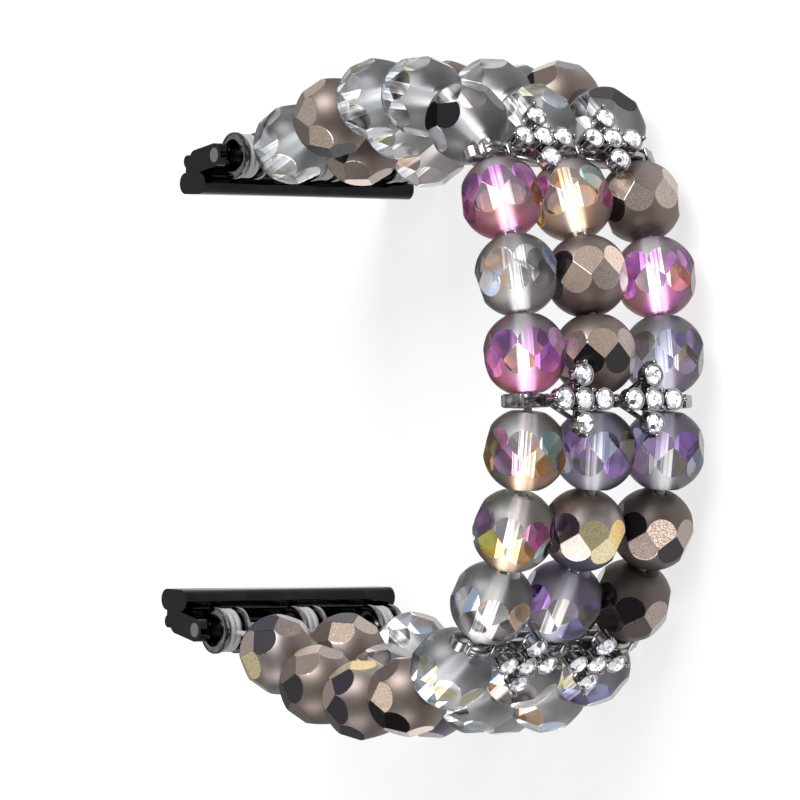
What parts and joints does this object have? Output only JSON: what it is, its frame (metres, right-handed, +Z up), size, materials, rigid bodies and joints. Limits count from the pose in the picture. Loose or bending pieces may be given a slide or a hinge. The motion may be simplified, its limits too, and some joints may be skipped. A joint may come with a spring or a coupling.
{
  "type": "beaded watch band",
  "caption": "Elastic watch band: three strands of faceted glass beads through stone-set metal spacers, on spools and pins of two slide-in case adapters; every rank bends.",
  "frame": {"origin": "middle of the loop's bounding box at its base, with the band lying on its side", "axes": "+X away from the watch case, +Y from the lower adapter to the upper one, +Z up along the wrist's axis, towards strand a"},
  "size_m": [0.0622, 0.0683, 0.026],
  "materials": {
    "bead_clear": "frosted clear glass with polished iridescent facets",
    "bead_plated": "satin taupe plating with copper bright facets",
    "bead_mixed": "one rank of frosted clear and plated beads",
    "crystal": "clear cut stone with a silvered back",
    "gunmetal": "polished black nickel",
    "black_metal": "gloss black plating",
    "steel_pin": "dark steel",
    "elastic": "clear white stretch cord"
  },
  "bodies": {
    "middle_spacer": {"spacer_middle": "gunmetal", "stones_middle": "crystal", "cords_spacer_middle": "elastic"},
    "rank_08": {"cords_08": "elastic"},
    "bead_08_a": {"bead_08_a": "bead_clear"},
    "bead_08_b": {"bead_08_b": "bead_plated"},
    "bead_08_c": {"bead_08_c": "bead_clear"},
    "rank_07": {"cords_07": "elastic"},
    "bead_07_a": {"bead_07_a": "bead_clear"},
    "bead_07_b": {"bead_07_b": "bead_plated"},
    "bead_07_c": {"bead_07_c": "bead_clear"},
    "rank_06": {"cords_06": "elastic"},
    "bead_06_a": {"bead_06_a": "bead_clear"},
    "bead_06_b": {"bead_06_b": "bead_clear"},
    "bead_06_c": {"bead_06_c": "bead_plated"},
    "upper_spacer": {"spacer_upper": "gunmetal", "stones_upper": "crystal", "cords_spacer_upper": "elastic"},
    "rank_05": {"cords_05": "elastic", "beads_05": "bead_mixed"},
    "rank_04": {"cords_04": "elastic", "beads_04": "bead_mixed"},
    "rank_03": {"cords_03": "elastic", "beads_03": "bead_mixed"},
    "rank_02": {"cords_02": "elastic", "beads_02": "bead_mixed"},
    "rank_01": {"cords_01": "elastic", "beads_01": "bead_mixed"},
    "spools_upper": {"spools_upper": "gunmetal"},
    "adapter_upper": {"adapter_upper": "black_metal", "pin_upper": "steel_pin"},
    "rank_09": {"cords_09": "elastic"},
    "bead_09_a": {"bead_09_a": "bead_clear"},
    "bead_09_b": {"bead_09_b": "bead_clear"},
    "bead_09_c": {"bead_09_c": "bead_clear"},
    "rank_10": {"cords_10": "elastic"},
    "bead_10_a": {"bead_10_a": "bead_clear"},
    "bead_10_b": {"bead_10_b": "bead_clear"},
    "bead_10_c": {"bead_10_c": "bead_plated"},
    "rank_11": {"cords_11": "elastic"},
    "bead_11_a": {"bead_11_a": "bead_clear"},
    "bead_11_b": {"bead_11_b": "bead_clear"},
    "bead_11_c": {"bead_11_c": "bead_plated"},
    "lower_spacer": {"spacer_lower": "gunmetal", "stones_lower": "crystal", "cords_spacer_lower": "elastic"},
    "rank_12": {"cords_12": "elastic", "beads_12": "bead_mixed"},
    "rank_13": {"cords_13": "elastic", "beads_13": "bead_mixed"},
    "rank_14": {"cords_14": "elastic", "beads_14": "bead_mixed"},
    "rank_15": {"cords_15": "elastic", "beads_15": "bead_mixed"},
    "rank_16": {"cords_16": "elastic", "beads_16": "bead_mixed"},
    "spools_lower": {"spools_lower": "gunmetal"},
    "adapter_lower": {"adapter_lower": "black_metal", "pin_lower": "steel_pin"}
  },
  "joints": [
    {"name": "rank_08_bend", "type": "hinge", "parent": "middle_spacer", "child": "rank_08", "pos_m": [0.02494, 0.00097, 0.013], "axis": [0, 0, 1], "range_deg": [-3, 3]},
    {"name": "bead_08_a_spin", "type": "hinge", "parent": "rank_08", "child": "bead_08_a", "pos_m": [0.02605, 0.00495, 0.02135], "axis": [-0.1392, 0.9903, 0], "continuous": true},
    {"name": "bead_08_b_spin", "type": "hinge", "parent": "rank_08", "child": "bead_08_b", "pos_m": [0.02605, 0.00495, 0.013], "axis": [-0.1392, 0.9903, 0], "continuous": true},
    {"name": "bead_08_c_spin", "type": "hinge", "parent": "rank_08", "child": "bead_08_c", "pos_m": [0.02605, 0.00495, 0.00465], "axis": [-0.1392, 0.9903, 0], "continuous": true},
    {"name": "rank_07_bend", "type": "hinge", "parent": "rank_08", "child": "rank_07", "pos_m": [0.02389, 0.00848, 0.013], "axis": [0, 0, 1], "range_deg": [-7, 3]},
    {"name": "bead_07_a_spin", "type": "hinge", "parent": "rank_07", "child": "bead_07_a", "pos_m": [0.0245, 0.01257, 0.02135], "axis": [-0.2588, 0.9659, 0], "continuous": true},
    {"name": "bead_07_b_spin", "type": "hinge", "parent": "rank_07", "child": "bead_07_b", "pos_m": [0.0245, 0.01257, 0.013], "axis": [-0.2588, 0.9659, 0], "continuous": true},
    {"name": "bead_07_c_spin", "type": "hinge", "parent": "rank_07", "child": "bead_07_c", "pos_m": [0.0245, 0.01257, 0.00465], "axis": [-0.2588, 0.9659, 0], "continuous": true},
    {"name": "rank_06_bend", "type": "hinge", "parent": "rank_07", "child": "rank_06", "pos_m": [0.02192, 0.01581, 0.013], "axis": [0, 0, 1], "range_deg": [-10, 3]},
    {"name": "bead_06_a_spin", "type": "hinge", "parent": "rank_06", "child": "bead_06_a", "pos_m": [0.02181, 0.01994, 0.02135], "axis": [-0.4226, 0.9063, 0], "continuous": true},
    {"name": "bead_06_b_spin", "type": "hinge", "parent": "rank_06", "child": "bead_06_b", "pos_m": [0.02181, 0.01994, 0.013], "axis": [-0.4226, 0.9063, 0], "continuous": true},
    {"name": "bead_06_c_spin", "type": "hinge", "parent": "rank_06", "child": "bead_06_c", "pos_m": [0.02181, 0.01994, 0.00465], "axis": [-0.4226, 0.9063, 0], "continuous": true},
    {"name": "upper_spacer_bend", "type": "hinge", "parent": "rank_06", "child": "upper_spacer", "pos_m": [0.01872, 0.02268, 0.013], "axis": [0, 0, 1], "range_deg": [-7, 3]},
    {"name": "rank_05_bend", "type": "hinge", "parent": "upper_spacer", "child": "rank_05", "pos_m": [0.01798, 0.02385, 0.013], "axis": [0, 0, 1], "range_deg": [-25, 3]},
    {"name": "rank_04_bend", "type": "hinge", "parent": "rank_05", "child": "rank_04", "pos_m": [0.01162, 0.02799, 0.013], "axis": [0, 0, 1], "range_deg": [-26, 3]},
    {"name": "rank_03_bend", "type": "hinge", "parent": "rank_04", "child": "rank_03", "pos_m": [0.00409, 0.02891, 0.013], "axis": [0, 0, 1], "range_deg": [-16, 3]},
    {"name": "rank_02_bend", "type": "hinge", "parent": "rank_03", "child": "rank_02", "pos_m": [-0.0034, 0.02772, 0.013], "axis": [0, 0, 1], "range_deg": [-9, 3]},
    {"name": "rank_01_bend", "type": "hinge", "parent": "rank_02", "child": "rank_01", "pos_m": [-0.01062, 0.02538, 0.013], "axis": [0, 0, 1], "range_deg": [-3, 3]},
    {"name": "spools_upper_spin", "type": "hinge", "parent": "rank_01", "child": "spools_upper", "pos_m": [-0.02184, 0.02436, 0.013], "axis": [0, 0, 1], "continuous": true},
    {"name": "adapter_upper_swing", "type": "hinge", "parent": "rank_01", "child": "adapter_upper", "pos_m": [-0.02244, 0.02439, 0.013], "axis": [0, 0, 1], "range_deg": [-40, 30]},
    {"name": "rank_09_bend", "type": "hinge", "parent": "middle_spacer", "child": "rank_09", "pos_m": [0.02506, -0.00041, 0.013], "axis": [0, 0, -1], "range_deg": [-10, 3]},
    {"name": "bead_09_a_spin", "type": "hinge", "parent": "rank_09", "child": "bead_09_a", "pos_m": [0.02637, -0.00433, 0.02135], "axis": [-0.0872, -0.9962, 0], "continuous": true},
    {"name": "bead_09_b_spin", "type": "hinge", "parent": "rank_09", "child": "bead_09_b", "pos_m": [0.02637, -0.00433, 0.013], "axis": [-0.0872, -0.9962, 0], "continuous": true},
    {"name": "bead_09_c_spin", "type": "hinge", "parent": "rank_09", "child": "bead_09_c", "pos_m": [0.02637, -0.00433, 0.00465], "axis": [-0.0872, -0.9962, 0], "continuous": true},
    {"name": "rank_10_bend", "type": "hinge", "parent": "rank_09", "child": "rank_10", "pos_m": [0.0244, -0.00797, 0.013], "axis": [0, 0, -1], "range_deg": [-14, 3]},
    {"name": "bead_10_a_spin", "type": "hinge", "parent": "rank_10", "child": "bead_10_a", "pos_m": [0.02473, -0.01209, 0.02135], "axis": [-0.3256, -0.9455, 0], "continuous": true},
    {"name": "bead_10_b_spin", "type": "hinge", "parent": "rank_10", "child": "bead_10_b", "pos_m": [0.02473, -0.01209, 0.013], "axis": [-0.3256, -0.9455, 0], "continuous": true},
    {"name": "bead_10_c_spin", "type": "hinge", "parent": "rank_10", "child": "bead_10_c", "pos_m": [0.02473, -0.01209, 0.00465], "axis": [-0.3256, -0.9455, 0], "continuous": true},
    {"name": "rank_11_bend", "type": "hinge", "parent": "rank_10", "child": "rank_11", "pos_m": [0.02193, -0.01514, 0.013], "axis": [0, 0, -1], "range_deg": [-13, 3]},
    {"name": "bead_11_a_spin", "type": "hinge", "parent": "rank_11", "child": "bead_11_a", "pos_m": [0.02132, -0.01923, 0.02135], "axis": [-0.5299, -0.848, 0], "continuous": true},
    {"name": "bead_11_b_spin", "type": "hinge", "parent": "rank_11", "child": "bead_11_b", "pos_m": [0.02132, -0.01923, 0.013], "axis": [-0.5299, -0.848, 0], "continuous": true},
    {"name": "bead_11_c_spin", "type": "hinge", "parent": "rank_11", "child": "bead_11_c", "pos_m": [0.02132, -0.01923, 0.00465], "axis": [-0.5299, -0.848, 0], "continuous": true},
    {"name": "lower_spacer_bend", "type": "hinge", "parent": "rank_11", "child": "lower_spacer", "pos_m": [0.01791, -0.02157, 0.013], "axis": [0, 0, -1], "range_deg": [-7, 3]},
    {"name": "rank_12_bend", "type": "hinge", "parent": "lower_spacer", "child": "rank_12", "pos_m": [0.01704, -0.02265, 0.013], "axis": [0, 0, -1], "range_deg": [-19, 3]},
    {"name": "rank_13_bend", "type": "hinge", "parent": "rank_12", "child": "rank_13", "pos_m": [0.01061, -0.02667, 0.013], "axis": [0, 0, -1], "range_deg": [-18, 3]},
    {"name": "rank_14_bend", "type": "hinge", "parent": "rank_13", "child": "rank_14", "pos_m": [0.00325, -0.0285, 0.013], "axis": [0, 0, -1], "range_deg": [-15, 3]},
    {"name": "rank_15_bend", "type": "hinge", "parent": "rank_14", "child": "rank_15", "pos_m": [-0.00434, -0.02837, 0.013], "axis": [0, 0, -1], "range_deg": [-13, 3]},
    {"name": "rank_16_bend", "type": "hinge", "parent": "rank_15", "child": "rank_16", "pos_m": [-0.0117, -0.02653, 0.013], "axis": [0, 0, -1], "range_deg": [-12, 3]},
    {"name": "spools_lower_spin", "type": "hinge", "parent": "rank_16", "child": "spools_lower", "pos_m": [-0.02408, -0.02433, 0.013], "axis": [0, 0, 1], "continuous": true},
    {"name": "adapter_lower_swing", "type": "hinge", "parent": "rank_16", "child": "adapter_lower", "pos_m": [-0.02468, -0.02429, 0.013], "axis": [0, 0, -1], "range_deg": [-40, 30]}
  ]
}
